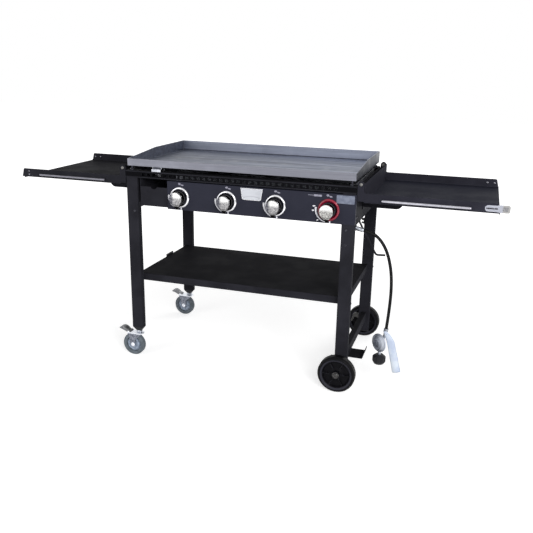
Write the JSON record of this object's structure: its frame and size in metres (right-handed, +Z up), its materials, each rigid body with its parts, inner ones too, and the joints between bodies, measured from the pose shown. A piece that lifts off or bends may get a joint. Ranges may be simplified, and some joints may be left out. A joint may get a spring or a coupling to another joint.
{
  "type": "outdoor gas griddle station",
  "caption": "Flat-top gas griddle on a wheeled steel cart with fold-over side shelves, control panel, lower shelf and hanging gas hose.",
  "frame": {"origin": "on the floor, under the middle of the whole width and depth without the gas hose and what hangs on it", "axes": "+X to the user's right along the griddle, +Y to the back, +Z up"},
  "size_m": [1.988, 0.664, 0.884],
  "materials": {
    "black_steel": "satin black powder coat",
    "panel_black": "satin black-blue powder coat",
    "griddle_steel": "blasted grey steel",
    "chute_steel": "bright",
    "dull_steel": "dull",
    "zinc": "zinc plated",
    "burner_steel": "stainless",
    "pipe_alloy": "cast",
    "chrome": "polished",
    "red_ring": "red polished",
    "knob_metal": "brushed cap on a black skirt",
    "stainless": "brushed",
    "bar_steel": "satin",
    "black_plastic": "moulded",
    "wheel_black": "moulded",
    "caster_rubber": "grey",
    "caster_hub": "grey",
    "hose_rubber": "smooth",
    "regulator_alloy": "silver grey",
    "card": "pale card"
  },
  "bodies": {
    "frame": {"leg_front_left": "black_steel", "leg_rear_left": "black_steel", "leg_front_right": "black_steel", "leg_rear_right": "black_steel", "leg_end_caps": "black_plastic", "front_rail": "black_steel", "rear_apron": "black_steel", "side_aprons": "black_steel", "control_panel": "panel_black", "burner_box": "dull_steel", "burner_tubes": "burner_steel", "gas_manifold": "pipe_alloy", "gas_valves": "pipe_alloy", "hose_ferrule": "zinc", "drawer_guides": "dull_steel", "hinge_brackets": "black_steel", "pivot_bolts": "zinc", "shelf_arms": "black_steel", "lower_shelf": "black_steel", "keeper_clips": "black_plastic", "cross_bar": "black_steel", "tank_foot": "black_steel", "tank_hook": "black_steel", "knob_bezels": "chrome", "knob_bezel_red": "red_ring", "badge_plate": "stainless", "axle_hardware": "zinc", "caster_stems": "zinc", "frame_screws": "zinc", "gas_hose": "hose_rubber", "gas_regulator": "regulator_alloy", "hang_tag": "card"},
    "griddle": {"griddle_plate": "griddle_steel", "grease_spout": "chute_steel", "griddle_feet": "dull_steel"},
    "drawer": {"grease_drawer": "black_steel"},
    "left_shelf": {"shelf_tray_left": "black_steel", "towel_bar_left": "bar_steel"},
    "right_shelf": {"shelf_tray_right": "black_steel", "towel_bar_right": "bar_steel", "bottle_opener": "stainless"},
    "hand_nut": {"regulator_nut": "black_plastic"},
    "stem_1": {"valve_stem_1": "zinc"},
    "knob_body_1": {"knob_1": "knob_metal"},
    "stem_2": {"valve_stem_2": "zinc"},
    "knob_body_2": {"knob_2": "knob_metal"},
    "stem_3": {"valve_stem_3": "zinc"},
    "knob_body_3": {"knob_3": "knob_metal"},
    "stem_4": {"valve_stem_4": "zinc"},
    "knob_body_4": {"knob_4": "knob_metal"},
    "wheel_front_body": {"wheel_front": "wheel_black"},
    "caster_front": {"caster_fork_front": "zinc"},
    "caster_wheel_front": {"caster_tread_front": "caster_rubber", "caster_hub_front": "caster_hub"},
    "brake_front": {"brake_lever_front": "dull_steel"},
    "wheel_rear_body": {"wheel_rear": "wheel_black"},
    "caster_rear": {"caster_fork_rear": "zinc"},
    "caster_wheel_rear": {"caster_tread_rear": "caster_rubber", "caster_hub_rear": "caster_hub"},
    "brake_rear": {"brake_lever_rear": "dull_steel"}
  },
  "joints": [
    {"name": "griddle_lift", "type": "slide", "parent": "frame", "child": "griddle", "axis": [0, 0, 1], "range_m": [0, 0.15]},
    {"name": "drawer_slide", "type": "slide", "parent": "frame", "child": "drawer", "axis": [0, -1, 0], "range_m": [0, 0.2]},
    {"name": "left_shelf_fold", "type": "hinge", "parent": "frame", "child": "left_shelf", "pos_m": [-0.5055, 0, 0.826], "axis": [0, 1, 0], "range_deg": [0, 180]},
    {"name": "right_shelf_fold", "type": "hinge", "parent": "frame", "child": "right_shelf", "pos_m": [0.4735, 0, 0.826], "axis": [0, -1, 0], "range_deg": [0, 180]},
    {"name": "knob_1_push", "type": "slide", "parent": "frame", "child": "stem_1", "axis": [0, 1, 0], "range_m": [0, 0.003], "stiffness_N_per_m": 1500, "springref_m": -0.002},
    {"name": "knob_1_turn", "type": "hinge", "parent": "stem_1", "child": "knob_body_1", "pos_m": [-0.252, -0.3, 0.723], "axis": [0, -1, 0], "range_deg": [0, 180]},
    {"name": "knob_2_push", "type": "slide", "parent": "frame", "child": "stem_2", "axis": [0, 1, 0], "range_m": [0, 0.003], "stiffness_N_per_m": 1500, "springref_m": -0.002},
    {"name": "knob_2_turn", "type": "hinge", "parent": "stem_2", "child": "knob_body_2", "pos_m": [-0.051, -0.3, 0.723], "axis": [0, -1, 0], "range_deg": [0, 180]},
    {"name": "knob_3_push", "type": "slide", "parent": "frame", "child": "stem_3", "axis": [0, 1, 0], "range_m": [0, 0.003], "stiffness_N_per_m": 1500, "springref_m": -0.002},
    {"name": "knob_3_turn", "type": "hinge", "parent": "stem_3", "child": "knob_body_3", "pos_m": [0.149, -0.3, 0.723], "axis": [0, -1, 0], "range_deg": [0, 180]},
    {"name": "knob_4_push", "type": "slide", "parent": "frame", "child": "stem_4", "axis": [0, 1, 0], "range_m": [0, 0.003], "stiffness_N_per_m": 1500, "springref_m": -0.002},
    {"name": "knob_4_turn", "type": "hinge", "parent": "stem_4", "child": "knob_body_4", "pos_m": [0.357, -0.3, 0.723], "axis": [0, -1, 0], "range_deg": [0, 180]},
    {"name": "wheel_front_spin", "type": "hinge", "parent": "frame", "child": "wheel_front_body", "pos_m": [0.425, -0.305, 0.075], "axis": [0, 1, 0], "continuous": true},
    {"name": "caster_front_swivel", "type": "hinge", "parent": "frame", "child": "caster_front", "pos_m": [-0.465, -0.264, 0.11], "axis": [0, 0, 1], "continuous": true},
    {"name": "caster_front_roll", "type": "hinge", "parent": "caster_front", "child": "caster_wheel_front", "pos_m": [-0.491, -0.264, 0.05], "axis": [0, 1, 0], "continuous": true},
    {"name": "brake_front_press", "type": "hinge", "parent": "caster_front", "child": "brake_front", "pos_m": [-0.511, -0.264, 0.105], "axis": [0, -1, 0], "range_deg": [0, 20]},
    {"name": "wheel_rear_spin", "type": "hinge", "parent": "frame", "child": "wheel_rear_body", "pos_m": [0.425, 0.305, 0.075], "axis": [0, 1, 0], "continuous": true},
    {"name": "caster_rear_swivel", "type": "hinge", "parent": "frame", "child": "caster_rear", "pos_m": [-0.465, 0.264, 0.11], "axis": [0, 0, 1], "continuous": true},
    {"name": "caster_rear_roll", "type": "hinge", "parent": "caster_rear", "child": "caster_wheel_rear", "pos_m": [-0.491, 0.264, 0.05], "axis": [0, 1, 0], "continuous": true},
    {"name": "brake_rear_press", "type": "hinge", "parent": "caster_rear", "child": "brake_rear", "pos_m": [-0.511, 0.264, 0.105], "axis": [0, -1, 0], "range_deg": [0, 20]},
    {"name": "hand_nut_turn", "type": "hinge", "parent": "frame", "child": "hand_nut", "pos_m": [0.578, -0.232, 0.13], "axis": [0, 0, 1], "continuous": true}
  ]
}
